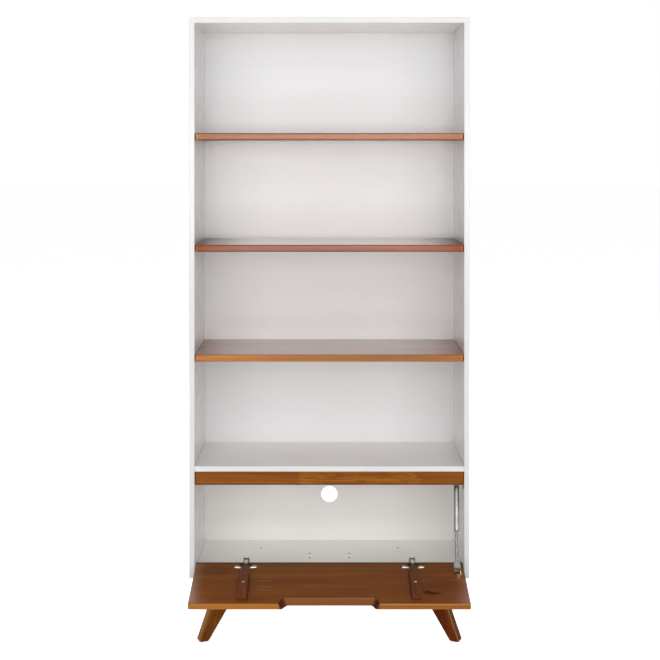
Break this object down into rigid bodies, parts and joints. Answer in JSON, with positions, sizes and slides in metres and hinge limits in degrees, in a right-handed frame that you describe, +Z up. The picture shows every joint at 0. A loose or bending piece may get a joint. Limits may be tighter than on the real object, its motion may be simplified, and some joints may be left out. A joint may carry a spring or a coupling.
{
  "type": "bookcase with flap door",
  "caption": "Tall white bookcase with brown wood shelves, a bottom-hinged wood flap door resting open on a gas strut, a cable hole in the back and splayed plank legs.",
  "frame": {"origin": "on the floor, under the middle of the bounding box with the flap door open", "axes": "+X to the right seen from the front, -Y towards the front, +Z up"},
  "size_m": [0.8, 0.5822, 1.79],
  "materials": {
    "white_board": "satin white laminate",
    "brown_wood": "satin stained wood",
    "leg_wood": "satin dark stained wood",
    "glide_plastic": "matte",
    "dark_screws": "black oxide",
    "zinc_screws": "zinc plated",
    "nickel_steel": "nickel plated",
    "rod_steel": "polished",
    "strut_steel": "silver grey enamel",
    "gland_steel": "dark",
    "socket_plastic": "grey moulded"
  },
  "bodies": {
    "cabinet": {"side_panel_left": "white_board", "side_panel_right": "white_board", "top_panel": "white_board", "bottom_panel": "white_board", "fixed_shelf": "white_board", "back_panel": "white_board", "front_rail": "brown_wood", "shelf_upper": "brown_wood", "shelf_middle": "brown_wood", "shelf_lower": "brown_wood", "base_beam_one": "brown_wood", "base_beam_two": "brown_wood", "leg_front_left": "leg_wood", "leg_front_right": "leg_wood", "leg_rear_left": "leg_wood", "leg_rear_right": "leg_wood", "foot_glide_front_left": "glide_plastic", "foot_glide_front_right": "glide_plastic", "foot_glide_rear_left": "glide_plastic", "foot_glide_rear_right": "glide_plastic", "base_screw_one_left_inner": "dark_screws", "base_screw_one_left_outer": "dark_screws", "base_screw_one_right_inner": "dark_screws", "base_screw_one_right_outer": "dark_screws", "base_screw_two_left_inner": "dark_screws", "base_screw_two_left_outer": "dark_screws", "base_screw_two_right_inner": "dark_screws", "base_screw_two_right_outer": "dark_screws", "hinge_arm_left": "nickel_steel", "hinge_arm_right": "nickel_steel", "hinge_plate_left": "nickel_steel", "hinge_plate_right": "nickel_steel", "hinge_plate_screw_left_inner": "zinc_screws", "hinge_plate_screw_left_outer": "zinc_screws", "hinge_plate_screw_right_inner": "zinc_screws", "hinge_plate_screw_right_outer": "zinc_screws", "strut_upper_bracket": "nickel_steel", "strut_upper_screw_top": "zinc_screws", "strut_upper_screw_bottom": "zinc_screws"},
    "door": {"flap_door": "brown_wood", "door_batten_left": "brown_wood", "door_batten_right": "brown_wood", "batten_screw_left": "zinc_screws", "batten_screw_right": "zinc_screws", "hinge_cup_left": "nickel_steel", "hinge_cup_right": "nickel_steel", "hinge_cup_screw_left_inner": "zinc_screws", "hinge_cup_screw_left_outer": "zinc_screws", "hinge_cup_screw_right_inner": "zinc_screws", "hinge_cup_screw_right_outer": "zinc_screws", "strut_lower_bracket": "nickel_steel", "strut_lower_screw_hinge_side": "zinc_screws", "strut_lower_screw_free_side": "zinc_screws"},
    "strut_rod": {"strut_rod": "rod_steel", "strut_lower_socket": "socket_plastic"},
    "strut_cylinder": {"strut_cylinder": "strut_steel", "strut_gland": "gland_steel", "strut_upper_socket": "socket_plastic"},
    "hinge_link_left": {"hinge_link_left": "nickel_steel"},
    "hinge_link_right": {"hinge_link_right": "nickel_steel"}
  },
  "joints": [
    {"name": "door_hinge", "type": "hinge", "parent": "cabinet", "child": "door", "pos_m": [0, -0.05635, 0.217], "axis": [-1, 0, 0], "range_deg": [0, 99.8]},
    {"name": "strut_lower_pivot", "type": "hinge", "parent": "door", "child": "strut_rod", "pos_m": [0.3595, -0.10832, 0.23938], "axis": [-1, 0, 0], "range_deg": [-120.4, 0]},
    {"name": "strut_slide", "type": "slide", "parent": "strut_rod", "child": "strut_cylinder", "axis": [0.0276, 0.3713, 0.9281], "range_m": [-0.0419, 0]},
    {"name": "hinge_link_pivot_left", "type": "hinge", "parent": "door", "child": "hinge_link_left", "pos_m": [-0.2377, -0.06817, 0.22663], "axis": [-1, 0, 0], "range_deg": [-43.2, 0]},
    {"name": "hinge_link_pivot_right", "type": "hinge", "parent": "door", "child": "hinge_link_right", "pos_m": [0.2377, -0.06817, 0.22663], "axis": [-1, 0, 0], "range_deg": [-43.2, 0]}
  ],
  "couplings": [
    {"joint": "strut_lower_pivot", "follows": "door_hinge", "ratio": -1.2049},
    {"joint": "strut_slide", "follows": "door_hinge", "m_per_rad": -0.024014},
    {"joint": "hinge_link_pivot_left", "follows": "door_hinge", "ratio": -0.431},
    {"joint": "hinge_link_pivot_right", "follows": "door_hinge", "ratio": -0.431}
  ]
}
